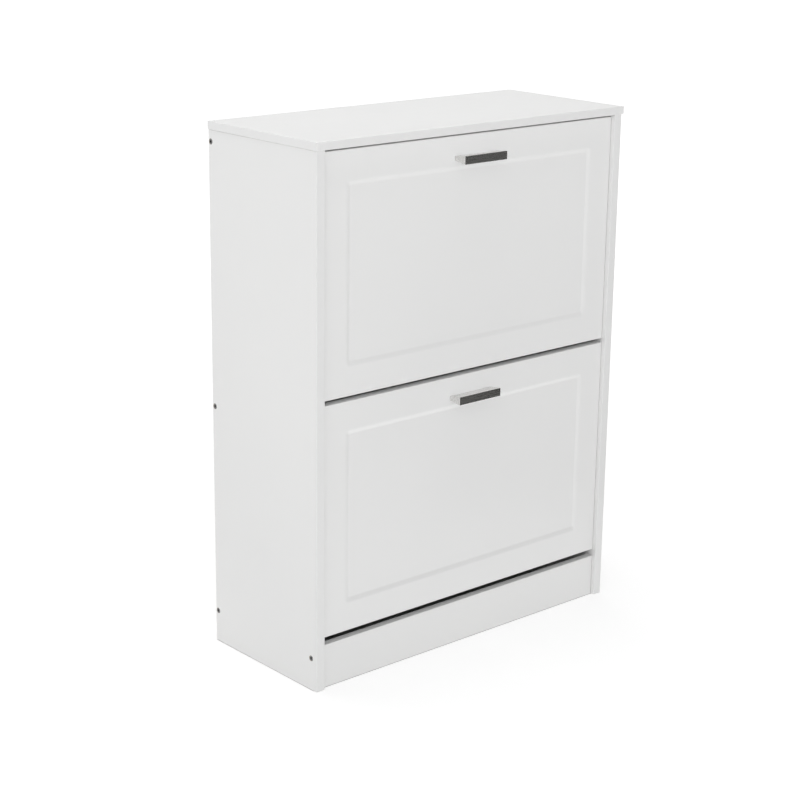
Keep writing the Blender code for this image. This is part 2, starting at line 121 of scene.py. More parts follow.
# Screws: each kind has a head radius and height, a thread radius and a length. Their sockets and threads.
PANEL_HEAD = 0.0040
PANEL_HEAD_HEIGHT = 0.0030
PANEL_HEAD_EDGE = 0.0005
PANEL_HEAD_TAPER = 0.0006
PANEL_THREAD = 0.0025
PANEL_LENGTH = 0.0440
SMALL_HEAD = 0.0035
SMALL_HEAD_HEIGHT = 0.0022
SMALL_HEAD_DOME = 0.75
RACK_THREAD = 0.0017
RACK_LENGTH = 0.0140
HANDLE_THREAD = 0.0019
HANDLE_SCREW_LENGTH = 0.0260
HEX_ACROSS_FLATS = 0.0040
HEX_DEPTH = 0.0022
CROSS_WIDTH = 0.0011
CROSS_LENGTH = 0.0042
CROSS_DEPTH = 0.0013
CROSS_TAPER = 0.55
THREAD_PITCH = 0.0024
THREAD_DEPTH = 0.0005
TIP_LENGTH_IN_RADII = 3

# Pins and cam fittings. A collar's reach is how far it stands out from the side panel, and a notch's end is
# how far it runs past the middle of the disc.
CHAMFER = 0.0004
PIVOT_RADIUS = 0.004
STOP_RADIUS = 0.003
COLLAR_RADIUS = 0.007
COLLAR_REACH = 0.0031
BOLT_RADIUS = 0.0030
BOLT_NECK_RADIUS = 0.0016
BOLT_HEAD_HEIGHT = 0.0021
BOLT_THREAD_LENGTH = 0.010
NOTCH_HALF_WIDTH = 0.0033
NOTCH_END = 0.0026
CAM_SLOT_LENGTH = 0.0074
CAM_SLOT_WIDTH = 0.0012
CAM_SLOT_DEPTH = 0.0012

# The floor, and how strongly it glows near the cabinet, further out and behind. Each reach says between
# which distances the glow grows.
FLOOR_HALF = 60.0
FLOOR_DROP = 0.0002
GLOW_NEAR = 0.54
GLOW_AROUND = 0.82
GLOW_BEHIND = 1.0
AROUND_REACH = (1.0, 5.0)
BEHIND_REACH = (0.6, 4.0)
BEHIND_DIRECTION = (0.66, 0.75, 0.0)

# The sky turns from white to grey between these heights, given as the sine of the angle above the horizon.
HORIZON_WHITE = 0.02
HORIZON_GREY = 0.10
WORLD_GREY = 0.30

# Lamps as (name, place, size, power), all aimed at one point, and the dark card with the point it faces.
LAMP_TARGET = (0, 0, 0.45)
LAMPS = (("key", (-2.6, -2.6, 2.6), 3.0, 35),
         ("front_fill", (0.4, -3.6, 2.4), 2.4, 13),
         ("left_fill", (-3.6, 0.2, 2.4), 2.4, 7),
         ("overhead", (0.0, 0.6, 3.4), 2.6, 65))
FLAG_CENTRE = (0.45, -0.62, 0.45)
FLAG_TARGET = (0.0, -0.13, 0.60)
FLAG_SIZE = 1.0

# The ways that flat faces look, and the material slots after the first: a board's band and core, a door's
# rear and the floor under the cabinet, painted darker there as painted shade.
FRONT, REAR = (0, -1, 0), (0, 1, 0)
LEFT, RIGHT = (-1, 0, 0), (1, 0, 0)
DOWN, UP = (0, 0, -1), (0, 0, 1)
BAND_INDEX = 1
CORE_INDEX = 2
DOOR_REAR_INDEX = 1
PAINTED_SHADE_INDEX = 1

SIDES = (("left", -1), ("right", 1))
DOORS = ("upper", "lower")
RAILS = ("plinth", "rear_bottom", "rear_middle", "rear_top")
CAM_ROWS = ("front", "rear")
PIVOTS = {joint["child"]: Vector(joint["pos_m"]) for joint in frame["joints"]}
OPEN_DEGREES = {joint["child"]: joint["range_deg"][1] for joint in frame["joints"]}


# ---------------------------------------------------------------- camera and studio

def add_camera():
    camera = bpy.data.objects.new("camera", bpy.data.cameras.new("camera"))
    bpy.context.scene.collection.objects.link(camera)
    camera.data.sensor_width = SENSOR_WIDTH
    camera.data.lens = CAMERA_LENS
    turn = (Matrix.Rotation(math.radians(CAMERA_AZIMUTH), 4, "Z")
            @ Matrix.Rotation(math.radians(90 - CAMERA_ELEVATION), 4, "X")
            @ Matrix.Rotation(math.radians(CAMERA_ROLL), 4, "Z"))
    camera.matrix_world = Matrix.Translation(CAMERA_PLACE) @ turn
    bpy.context.scene.camera = camera


def soft_light(name, place, size, power):
    """A large square light panel that faces the cabinet's middle."""
    lamp = bpy.data.lights.new(name, "AREA")
    lamp.size = size
    lamp.energy = power
    light = bpy.data.objects.new(name, lamp)
    bpy.context.scene.collection.objects.link(light)
    light.location = place
    light.rotation_euler = (Vector(LAMP_TARGET) - Vector(place)).to_track_quat("-Z", "Y").to_euler()


# ---------------------------------------------------------------- materials

class Finish:
    """A Principled material with short helpers for its nodes. Patterns follow the object itself."""

    def __init__(self, name, roughness, metallic=0.0, specular=0.5):
        self.material = bpy.data.materials.new(name)
        self.material.use_nodes = True
        self.tree = self.material.node_tree
        self.shader = self.tree.nodes["Principled BSDF"]
        self.shader.inputs["Roughness"].default_value = roughness
        self.shader.inputs["Metallic"].default_value = metallic
        self.shader.inputs["Specular IOR Level"].default_value = specular
        self.coords = self.tree.nodes.new("ShaderNodeTexCoord").outputs["Object"]

    def node(self, kind, **values):
        made = self.tree.nodes.new(kind)
        for key, value in values.items():
            setattr(made, key, value)
        return made

    def link(self, output, socket):
        self.tree.links.new(output, socket)

    def stretched(self, scale):
        mapping = self.node("ShaderNodeMapping")
        mapping.inputs["Scale"].default_value = scale
        self.link(self.coords, mapping.inputs["Vector"])
        return mapping.outputs["Vector"]

    def noise(self, scale, detail=2.0, coords=None):
        texture = self.node("ShaderNodeTexNoise")
        texture.inputs["Scale"].default_value = scale
        texture.inputs["Detail"].default_value = detail
        self.link(coords or self.coords, texture.inputs["Vector"])
        return texture.outputs["Fac"]

    def remap(self, value, low, high, source=(0.3, 0.7)):
        spread = self.node("ShaderNodeMapRange")
        spread.inputs["From Min"].default_value = source[0]
        spread.inputs["From Max"].default_value = source[1]
        spread.inputs["To Min"].default_value = low
        spread.inputs["To Max"].default_value = high
        self.link(value, spread.inputs["Value"])
        return spread.outputs["Result"]

    def ramp(self, value, stops):
        band = self.node("ShaderNodeValToRGB")
        band.color_ramp.elements[0].position = stops[0][0]
        band.color_ramp.elements[0].color = (*stops[0][1], 1)
        band.color_ramp.elements[1].position = stops[-1][0]
        band.color_ramp.elements[1].color = (*stops[-1][1], 1)
        for position, colour in stops[1:-1]:
            band.color_ramp.elements.new(position).color = (*colour, 1)
        self.link(value, band.inputs["Fac"])
        return band.outputs["Color"]

    def blend(self, factor, first, second):
        """Mixes two colours, each an output or a plain colour."""
        mix = self.node("ShaderNodeMix", data_type="RGBA")
        self.link(factor, mix.inputs["Factor"])
        for socket, colour in ((mix.inputs[6], first), (mix.inputs[7], second)):
            if isinstance(colour, tuple):
                socket.default_value = (*colour, 1)
            else:
                self.link(colour, socket)
        return mix.outputs[2]

    def edges(self, low=0.52, high=0.62):
        """Rises from 0 to 1 along convex edges, where handling wears a finish."""
        geometry = self.node("ShaderNodeNewGeometry")
        return self.remap(geometry.outputs["Pointiness"], 0.0, 1.0, (low, high))

    def colour(self, output):
        self.link(output, self.shader.inputs["Base Color"])

    def roughness(self, output):
        self.link(output, self.shader.inputs["Roughness"])

    def bump(self, *layers):
        """Stacks bump layers, each given as height, strength and distance."""
        normal = None
        for height, strength, distance in layers:
            bump = self.node("ShaderNodeBump")
            bump.inputs["Strength"].default_value = strength
            bump.inputs["Distance"].default_value = distance
            self.link(height, bump.inputs["Height"])
            if normal is not None:
                self.link(normal, bump.inputs["Normal"])
            normal = bump.outputs["Normal"]
        self.link(normal, self.shader.inputs["Normal"])


def melamine(name, light, shade, rough):
    """White foil on board: a faint cloud in the colour, a fine pearl in the surface, softly rubbed edges."""
    finish = Finish(name, sum(rough) / 2)
    cloud = finish.ramp(finish.noise(3.0, 3.0), ((0.35, shade), (0.65, light)))
    rubbed = tuple(channel * 0.97 for channel in shade)
    finish.colour(finish.blend(finish.remap(finish.edges(), 0.0, 0.5, (0.0, 1.0)), cloud, rubbed))
    finish.roughness(finish.remap(finish.noise(45.0, 4.0), rough[0], rough[1]))
    pearl = finish.noise(1100.0, 2.0)
    wave = finish.noise(140.0, 2.0)
    finish.bump((wave, 0.10, 0.00004), (pearl, 0.16, 0.00003))
    return finish.material


def chipboard():
    """Raw particle board: pale wood chips of several sizes, pressed in glue."""
    finish = Finish("chipboard_core", 0.85, specular=0.2)
    chips = finish.node("ShaderNodeTexVoronoi")
    chips.inputs["Scale"].default_value = 420.0
    finish.link(finish.stretched((1.0, 1.0, 2.2)), chips.inputs["Vector"])
    dust = finish.noise(900.0, 3.0)
    tone = finish.ramp(chips.outputs["Color"], ((0.1, (0.36, 0.25, 0.15)), (0.5, (0.52, 0.39, 0.25)),
                                                (0.9, (0.66, 0.53, 0.37))))
    finish.colour(finish.blend(finish.remap(dust, 0.0, 0.6), tone, (0.44, 0.32, 0.20)))
    finish.bump((chips.outputs["Distance"], 0.5, 0.0003), (dust, 0.4, 0.0001))
    return finish.material


def hardboard():
    """The brown rear of fibre board, with the small grid left by the press screen."""
    finish = Finish("hardboard_rear", 0.8, specular=0.25)
    fibres = finish.noise(60.0, 6.0, finish.stretched((1.0, 1.0, 6.0)))
    specks = finish.noise(700.0, 3.0)
    tone = finish.ramp(fibres, ((0.3, (0.20, 0.12, 0.065)), (0.7, (0.33, 0.21, 0.12))))
    finish.colour(finish.blend(finish.remap(specks, 0.0, 0.5), tone, (0.16, 0.095, 0.05)))
    across = finish.node("ShaderNodeTexWave", bands_direction="X")
    across.inputs["Scale"].default_value = 150.0
    upward = finish.node("ShaderNodeTexWave", bands_direction="Z")
    upward.inputs["Scale"].default_value = 150.0
    for wave in (across, upward):
        finish.link(finish.coords, wave.inputs["Vector"])
    finish.bump((across.outputs["Fac"], 0.25, 0.0001), (upward.outputs["Fac"], 0.25, 0.0001),
                (specks, 0.3, 0.0001))
    return finish.material


def moulded_plastic():
    """Dark injection-moulded plastic with a fine spark-eroded texture and paler rubbed edges."""
    finish = Finish("rack_plastic_dark", 0.5, specular=0.45)
    flow = finish.ramp(finish.noise(14.0, 3.0), ((0.3, (0.030, 0.030, 0.032)), (0.7, (0.040, 0.040, 0.042))))
    rubbed = finish.remap(finish.edges(), 0.0, 0.6, (0.0, 1.0))
    finish.colour(finish.blend(rubbed, flow, (0.085, 0.085, 0.088)))
    finish.roughness(finish.remap(finish.noise(30.0, 3.0), 0.44, 0.56))
    finish.bump((finish.noise(1500.0, 3.0), 0.35, 0.00006), (finish.noise(500.0, 2.0), 0.15, 0.00005))
    return finish.material


def satin_nickel():
    """Brushed nickel: fine lines along the bar, with brighter edges."""
    finish = Finish("satin_nickel", 0.26, metallic=1.0)
    finish.shader.inputs["Anisotropic"].default_value = 0.35
    lines = finish.noise(1.0, 4.0, finish.stretched((25.0, 1400.0, 900.0)))
    broad = finish.noise(1.0, 3.0, finish.stretched((12.0, 420.0, 260.0)))
    grain = finish.ramp(lines, ((0.3, (0.68, 0.675, 0.66)), (0.7, (0.75, 0.745, 0.73))))
    rubbed = finish.remap(finish.edges(), 0.0, 0.7, (0.0, 1.0))
    finish.colour(finish.blend(rubbed, grain, (0.82, 0.815, 0.80)))
    finish.roughness(finish.remap(broad, 0.25, 0.30))
    finish.bump((lines, 0.07, 0.00003), (broad, 0.05, 0.00003))
    return finish.material


def zinc_plate():
    """Dark zinc on steel: bluish and straw-coloured clouds, fine turning marks."""
    finish = Finish("zinc_plate", 0.34, metallic=1.0)
    clouds = finish.ramp(finish.noise(380.0, 3.0), ((0.30, (0.17, 0.18, 0.20)), (0.55, (0.22, 0.22, 0.22)),
                                                    (0.75, (0.26, 0.245, 0.21))))
    rubbed = finish.remap(finish.edges(), 0.0, 0.6, (0.0, 1.0))
    finish.colour(finish.blend(rubbed, clouds, (0.42, 0.42, 0.41)))
    finish.roughness(finish.remap(finish.noise(900.0, 3.0), 0.26, 0.44))
    finish.bump((finish.noise(1800.0, 2.0), 0.25, 0.00003))
    return finish.material


def diecast_zinc():
    """Dull cast zinc for the cam discs."""
    finish = Finish("cast_zinc", 0.5, metallic=0.9)
    tone = finish.ramp(finish.noise(260.0, 4.0), ((0.3, (0.30, 0.30, 0.31)), (0.7, (0.42, 0.42, 0.42))))
    finish.colour(tone)
    finish.roughness(finish.remap(finish.noise(500.0, 3.0), 0.42, 0.60))
    finish.bump((finish.noise(1200.0, 4.0), 0.5, 0.00008))
    return finish.material


WHITE = melamine("white_melamine", (0.868, 0.868, 0.862), (0.852, 0.853, 0.848), (0.36, 0.46))
BAND = melamine("edge_band", (0.846, 0.847, 0.843), (0.834, 0.835, 0.831), (0.30, 0.38))
FOIL = melamine("door_foil", (0.870, 0.870, 0.865), (0.856, 0.857, 0.853), (0.32, 0.40))
CORE = chipboard()
BROWN = hardboard()
PLASTIC = moulded_plastic()
NICKEL = satin_nickel()
ZINC = zinc_plate()
CAST = diecast_zinc()


# ---------------------------------------------------------------- mesh helpers

def shown(name, shape, materials):
    """Turns a bmesh into a linked object, and frees the bmesh."""
    mesh = bpy.data.meshes.new(name)
    shape.to_mesh(mesh)
    shape.free()
    for finish in materials:
        mesh.materials.append(finish)
    piece = bpy.data.objects.new(name, mesh)
    bpy.context.scene.collection.objects.link(piece)
    return piece


def settle(piece, body, node):
    """The piece moves with a body and stands for one CAD node."""
    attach(piece, body)
    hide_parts(node)


def add_box(shape, low, high, index=0):
    """A box between two corners. Gives its vertices."""
    low, high = Vector(low), Vector(high)
    size = Matrix.Diagonal((*(high - low), 1.0))
    made = bmesh.ops.create_cube(shape, size=1.0, matrix=Matrix.Translation((low + high) / 2) @ size)
    for face in {face for vert in made["verts"] for face in vert.link_faces}:
        face.material_index = index
    return made["verts"]


def add_rod(shape, start, end, radius, index=0):
    """A closed cylinder between two points."""
    start, end = Vector(start), Vector(end)
    along = (end - start).to_track_quat("Z", "Y").to_matrix().to_4x4()
    made = bmesh.ops.create_cone(shape, cap_ends=True, segments=ROUND_STEPS, radius1=radius,
                                 radius2=radius, depth=(end - start).length,
                                 matrix=Matrix.Translation((start + end) / 2) @ along)
    for face in {face for vert in made["verts"] for face in vert.link_faces}:
        face.material_index = index
        face.smooth = len(face.verts) == 4


def add_prism(shape, outline, direction):
    """Extrudes a flat closed outline along a direction, and gives the edges of both ends."""
    base = shape.faces.new([shape.verts.new(point) for point in outline])
    grown = bmesh.ops.extrude_face_region(shape, geom=[base])
    moved = [item for item in grown["geom"] if isinstance(item, bmesh.types.BMVert)]
    top = [item for item in grown["geom"] if isinstance(item, bmesh.types.BMFace)]
    bmesh.ops.translate(shape, verts=moved, vec=direction)
    bmesh.ops.recalc_face_normals(shape, faces=shape.faces)
    return [edge for face in [base] + top if face.is_valid for edge in face.edges]


def soften(shape, edges, width, segments=ROUND_SEGMENTS):
    """Rounds edges. Only the new faces are shaded smooth, so that flat faces stay flat."""
    made = bmesh.ops.bevel(shape, geom=edges, offset=width, segments=segments, profile=0.5,
                           affect="EDGES", clamp_overlap=True)
    for face in made["faces"]:
        face.smooth = True


def carve(piece, shape, operation="DIFFERENCE"):
    """Cuts a closed shape out of a piece, or joins it on, and keeps only the result."""
    tool = shown("carving_tool", shape, piece.data.materials)
    boolean = piece.modifiers.new("carve", "BOOLEAN")
    boolean.operation = operation
    boolean.object = tool
    graph = bpy.context.evaluated_depsgraph_get()
    result = bpy.data.meshes.new_from_object(piece.evaluated_get(graph))
    piece.modifiers.clear()
    piece.data = result
    bpy.data.objects.remove(tool, do_unlink=True)


def turned_mesh(name, profile, finish):
    """A profile of (radius, distance) turned about Z. Sharp corners stay sharp."""
    shape = bmesh.new()
    points = [shape.verts.new((radius, 0, distance)) for radius, distance in profile]
    lines = [shape.edges.new(pair) for pair in zip(points, points[1:])]
    bmesh.ops.spin(shape, geom=points + lines, cent=(0, 0, 0), axis=(0, 0, 1), angle=math.tau,
                   steps=ROUND_STEPS, use_merge=True)
    bmesh.ops.remove_doubles(shape, verts=shape.verts, dist=0.000005)
    bmesh.ops.recalc_face_normals(shape, faces=shape.faces)
    piece = shown(name, shape, [finish])
    piece.data.shade_smooth()
    piece.data.set_sharp_from_angle(angle=math.radians(SHARP_DEGREES))
    return piece


def copies(pattern, places):
    """One object with a copy of the pattern's mesh for each (node, body, matrix). The pattern goes."""
    for node, body, matrix in places:
        mesh = pattern.data.copy()
        mesh.name = f"{node}_detail"
        piece = bpy.data.objects.new(mesh.name, mesh)
        bpy.context.scene.collection.objects.link(piece)
        piece.matrix_world = matrix
        settle(piece, body, node)
    bpy.data.objects.remove(pattern, do_unlink=True)


def middle(node):
    low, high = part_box(node)
    return (low + high) / 2


def half_height(node):
    low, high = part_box(node)
    return (high.z - low.z) / 2


def ends(node, sign):
    """The X of a node's outer face and of its inner face, on the side of the cabinet that the sign names."""
    low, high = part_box(node)
    return (low.x, high.x) if sign < 0 else (high.x, low.x)


# ---------------------------------------------------------------- boards

def faces_towards(shape, directions):
    """The faces that look along any of the given directions."""
    return [face for face in shape.faces if any(face.normal.dot(Vector(way)) > FLAT for way in directions)]


def make_board(node, body, bands, raw, width=BOARD_ROUND,
               materials=(WHITE, BAND, CORE)):
    """A foiled board with rounded edges. Bands and raw say which narrow faces are banded or show the core."""
    low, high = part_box(node)
    shape = bmesh.new()
    add_box(shape, low, high)
    shape.normal_update()
    for face in faces_towards(shape, bands):
        face.material_index = BAND_INDEX
    for face in faces_towards(shape, raw):
        face.material_index = CORE_INDEX
    soften(shape, shape.edges[:], width)
    piece = shown(f"{node}_detail", shape, materials)
    settle(piece, body, node)
    return piece


def back_groove(side, sign):
    """The cutter for the groove that holds the back panel, open at the foot and the head."""
    back_low, back_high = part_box("back_panel")
    panel_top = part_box(f"{side}_side_panel")[1].z
    mouth = ends(f"{side}_side_panel", sign)[1] - sign * OVERSHOOT
    groove_x = sorted((ends("back_panel", sign)[0] + sign * GAP, mouth))
    groove = bmesh.new()
    add_box(groove, (groove_x[0], back_low.y - GAP, -OVERSHOOT),
            (groove_x[1], back_high.y + GAP, panel_top + OVERSHOOT), CORE_INDEX)
    return groove


def drill(holes, node, mouth, bottom, radius):
    """A hole along X in line with a node, from the X of its mouth to the X of its bottom."""
    place = middle(node)
    add_rod(holes, (mouth, place.y, place.z), (bottom, place.y, place.z), radius, CORE_INDEX)


def panel_holes(side, sign):
    """The cutters for the screws' counterbores, the cam seats and the pin holes."""
    outer, inner = ends(f"{side}_side_panel", sign)
    inner_mouth = inner - sign * OVERSHOOT
    holes = bmesh.new()
    for rail in RAILS:
        screw = f"panel_screw_{side}_{rail}"
        drill(holes, screw, outer + sign * OVERSHOOT, (outer + inner) / 2, half_height(screw) + GAP)
    for row in CAM_ROWS:
        disc = f"cam_disc_{side}_{row}"
        disc_outer, disc_inner = ends(disc, sign)
        depth = abs(disc_outer - disc_inner) + GAP
        drill(holes, disc, inner_mouth, inner + sign * depth, half_height(disc) + GAP)
    for door in DOORS:
        for kind, radius in (("pivot", PIVOT_RADIUS), ("stop", STOP_RADIUS)):
            pin = f"{door}_{kind}_pin_{side}"
            drill(holes, pin, inner_mouth, ends(pin, sign)[0] + sign * GAP, radius + GAP)
    return holes


def side_panel(side, sign):
    """A side panel with its groove and holes, banded in front and raw behind, below and above."""
    panel = make_board(f"{side}_side_panel", "carcass", [FRONT], [REAR, DOWN, UP])
    carve(panel, back_groove(side, sign))
    carve(panel, panel_holes(side, sign))


def carcass_boards():
    """The eight boards that stand still."""
    for side, sign in SIDES:
        side_panel(side, sign)
    make_board("top_panel", "carcass", [FRONT, REAR, RIGHT, LEFT], [])
    make_board("plinth", "carcass", [UP], [DOWN, RIGHT, LEFT])
    for rail in ("rear_bottom_rail", "rear_middle_rail", "rear_top_rail"):
        make_board(rail, "carcass", [UP], [DOWN, RIGHT, LEFT])
    make_board("back_panel", "carcass", [], [REAR, RIGHT, LEFT, UP, DOWN],
               BACK_ROUND, (WHITE, WHITE, BROWN))


def rack_boards(door):
    """A rack's floor, divider and back."""
    body = f"{door}_door"
    make_board(f"{door}_rack_floor", body, [REAR], [FRONT, RIGHT, LEFT])
    for part in ("divider", "back"):
        make_board(f"{door}_rack_{part}", body, [UP], [DOWN, RIGHT, LEFT])


# ---------------------------------------------------------------- doors and handles

def rounded_rectangle(low_x, high_x, low_z, high_z, radius):
    """Points round a rectangle with round corners, anticlockwise seen from the front."""
    corners = ((low_x + radius, low_z + radius, 180), (high_x - radius, low_z + radius, 270),
               (high_x - radius, high_z - radius, 0), (low_x + radius, high_z - radius, 90))
    points = []
    for x, z, first in corners:
        for step in range(CORNER_STEPS + 1):
            angle = math.radians(first + 90 * step / CORNER_STEPS)
            points.append((x + radius * math.cos(angle), z + radius * math.sin(angle)))
    return points


def door_profile():
    """Rings of the front face, as (inset, depth, corner radius, smooth), from its edge to the sunk panel."""
    rings = []
    for step in range(ROUND_SEGMENTS + 2):
        angle = math.radians(90 * step / (ROUND_SEGMENTS + 1))
        inset = DOOR_ROUND * (1 - math.cos(angle))
        depth = DOOR_ROUND * (1 - math.sin(angle))
        rings.append((inset, depth, DOOR_CORNER, True))
    for step in range(MOULDING_STEPS + 1):
        share = step / MOULDING_STEPS
        depth = PANEL_DEPTH * (1 - math.cos(math.pi * share)) / 2
        corner = PANEL_CORNER - PANEL_SLOPE * share * 0.5
        rings.append((PANEL_INSET + PANEL_SLOPE * share, depth, corner, step > 0))
    return rings


def join_rings(shape, inner, outer, smooth=False):
    """Four-sided faces between two closed rings with the same number of points."""
    for index in range(len(inner)):
        after = (index + 1) % len(inner)
        face = shape.faces.new((inner[index], inner[after], outer[after], outer[index]))
        face.smooth = smooth


def door_panel(door):
    """A routed, foil-wrapped door front with a soft moulding round its sunk middle."""
    node = f"{door}_door_panel"
    low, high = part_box(node)
    shape = bmesh.new()
    rings = []
    for inset, depth, corner, smooth in door_profile():
        outline = rounded_rectangle(low.x + inset, high.x - inset, low.z + inset, high.z - inset, corner)
        rings.append([shape.verts.new((x, low.y + depth, z)) for x, z in outline])
        if len(rings) > 1:
            join_rings(shape, rings[-2], rings[-1], smooth)
    shape.faces.new(rings[-1])
    rear = [shape.verts.new((vert.co.x, high.y, vert.co.z)) for vert in rings[0]]
    join_rings(shape, rear, rings[0])
    back = shape.faces.new(list(reversed(rear)))
    bmesh.ops.recalc_face_normals(shape, faces=shape.faces)
    soften(shape, back.edges[:], BACK_ROUND, 2)
    for face in faces_towards(shape, [REAR]):
        face.material_index = DOOR_REAR_INDEX
    piece = shown(f"{node}_detail", shape, (FOIL, WHITE))
    settle(piece, f"{door}_door", node)


def handle_comb(low, high):
    """The cutter for a handle's inside: a tray that leaves the walls and two screw bosses."""
    centre = (low.x + high.x) / 2
    roof = high.z - HANDLE_TOP_SLOPE - HANDLE_WALL
    near = (HANDLE_HOLE_PITCH - BOSS_WIDTH) / 2
    far = (HANDLE_HOLE_PITCH + BOSS_WIDTH) / 2
    end = (high.x - low.x) / 2 - HANDLE_WALL
    rear, boss, lip = high.y - HANDLE_WALL, high.y - BOSS_DEPTH, low.y + HANDLE_WALL
    half = [(near, rear), (near, boss), (far, boss), (far, rear), (end, rear), (end, lip)]
    outline = [(centre + x, y, roof) for x, y in half] + [(centre - x, y, roof) for x, y in reversed(half)]
    comb = bmesh.new()
    add_prism(comb, outline, (0, 0, -HANDLE_FRONT_HEIGHT))
    return comb


def handle(door):
    """A hooded bar, open below. Soft light passes it, as the photo shows no shade round it."""
    node = f"{door}_handle"
    low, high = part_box(node)
    tip, face, top = low.y, high.y, high.z
    back_top = top - HANDLE_TOP_SLOPE
    outline = [(low.x, face, back_top), (low.x, tip, top), (low.x, tip, top - HANDLE_FRONT_HEIGHT),
               (low.x, face, back_top - HANDLE_BACK_HEIGHT)]
    shape = bmesh.new()
    add_prism(shape, outline, (high.x - low.x, 0, 0))
    soften(shape, shape.edges[:], HANDLE_ROUND)
    piece = shown(f"{node}_detail", shape, [NICKEL])
    carve(piece, handle_comb(low, high))
    piece.visible_diffuse = False
    settle(piece, f"{door}_door", node)


# ---------------------------------------------------------------- rack cheeks

def polar(radius, angle):
    """A point in a plane, from its distance and its angle."""
    return radius * math.cos(angle), radius * math.sin(angle)


def cheek_outline(front):
    """Side view of a cheek: straight at the front, floor and rear, round at the top."""
    first = math.acos(CHEEK_REACH / CHEEK_RADIUS)
    last = math.acos(front / CHEEK_RADIUS)
    outline = [(front, -CHEEK_DROP), (CHEEK_REACH, -CHEEK_DROP)]
    for step in range(CHEEK_ARC_STEPS + 1):
        outline.append(polar(CHEEK_RADIUS, first + (last - first) * step / CHEEK_ARC_STEPS))
    return outline


def stop_slot(radius, tilt):
    """An arc about the tilt axis, as wide as the stop pin, with round ends."""
    width = radius + GAP
    spare = GAP / STOP_SWING_RADIUS
    first, last = math.pi / 2 - tilt - spare, math.pi / 2 + spare
    runs = ((STOP_SWING_RADIUS + width, first, last, 0), (STOP_SWING_RADIUS - width, last, first, math.pi))
    outline = []
    for swing, start, end, turn in runs:
        for step in range(SLOT_STEPS + 1):
            outline.append(polar(swing, start + (end - start) * step / SLOT_STEPS))
        centre = polar(STOP_SWING_RADIUS, end)
        for step in range(1, SLOT_END_STEPS):
            y, z = polar(width, end + turn + math.pi * step / SLOT_END_STEPS)
            outline.append((centre[0] + y, centre[1] + z))
    return outline


def pocket(index, inset):
    """One of the sunk fields between the radial ribs, drawn in by an inset on every side."""
    first = math.radians(POCKET_FIRST_DEGREES)
    span = (math.radians(POCKET_LAST_DEGREES) - first) / POCKET_COUNT
    inner = POCKET_INNER_RADIUS + inset
    margin = RIB_WIDTH / 2 + inset

    def edge(radius, share):
        start = first + span * index + margin / radius
        end = first + span * (index + 1) - margin / radius
        return start + (end - start) * share

    outline = []
    for step in range(POCKET_STEPS + 1):
        outline.append(polar(inner, edge(inner, 1 - step / POCKET_STEPS)))
    for step in range(POCKET_STEPS + 1):
        angle = edge(POCKET_OUTER_RADIUS, step / POCKET_STEPS)
        radius = min(POCKET_OUTER_RADIUS - inset, (POCKET_REAR - inset) / math.cos(angle))
        outline.append(polar(radius, angle))
    return outline


def add_pockets(shape, pivot, outer, sign):
    """Pockets with drafted walls, each a tapered plug that starts just outside the cheek."""
    levels = ((outer + sign * OVERSHOOT, -POCKET_DRAFT * OVERSHOOT / POCKET_DEPTH),
              (outer - sign * POCKET_DEPTH, POCKET_DRAFT))
    for index in range(POCKET_COUNT):
        rings = [[shape.verts.new((x, pivot.y + y, pivot.z + z)) for y, z in pocket(index, inset)]
                 for x, inset in levels]
        join_rings(shape, rings[0], rings[1])
        shape.faces.new(rings[0])
        shape.faces.new(rings[1])
    bmesh.ops.recalc_face_normals(shape, faces=shape.faces)


def cheek_flange(low, pivot, first_x, last_x):
    """The upright strip at a cheek's front that is screwed to the door, with its rear edges rounded."""
    flange_x = sorted((first_x, last_x))
    flange = bmesh.new()
    add_box(flange, (flange_x[0], low.y, pivot.z + FLANGE_BOTTOM),
            (flange_x[1], low.y + FLANGE_THICK, pivot.z + FLANGE_TOP))
    halfway = low.y + FLANGE_THICK / 2
    rear_edges = [edge for edge in flange.edges if all(vert.co.y > halfway for vert in edge.verts)]
    soften(flange, rear_edges, CHEEK_ROUND, 2)
    return flange


def board_groove(board, inner, sign):
    """The cutter for the groove that takes the end of a rack board."""
    low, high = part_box(board)
    groove_x = sorted((ends(board, sign)[0] + sign * GAP, inner - sign * OVERSHOOT))
    groove = bmesh.new()
    add_box(groove, (groove_x[0], low.y - GAP, low.z - GAP), (groove_x[1], high.y + GAP, high.z + GAP))
    return groove


def cheek_openings(pivot, tilt, stop_radius, outer, inner, sign):
    """The cutters for the stop slot, the pivot hole and the pockets outside."""
    start, end = outer + sign * OVERSHOOT, inner - sign * OVERSHOOT
    slot = [(start, pivot.y + y, pivot.z + z) for y, z in stop_slot(stop_radius, tilt)]
    openings = bmesh.new()
    add_prism(openings, slot, (end - start, 0, 0))
    add_rod(openings, (start, pivot.y, pivot.z), (end, pivot.y, pivot.z), PIVOT_RADIUS + GAP)
    add_pockets(openings, pivot, outer, sign)
    return openings


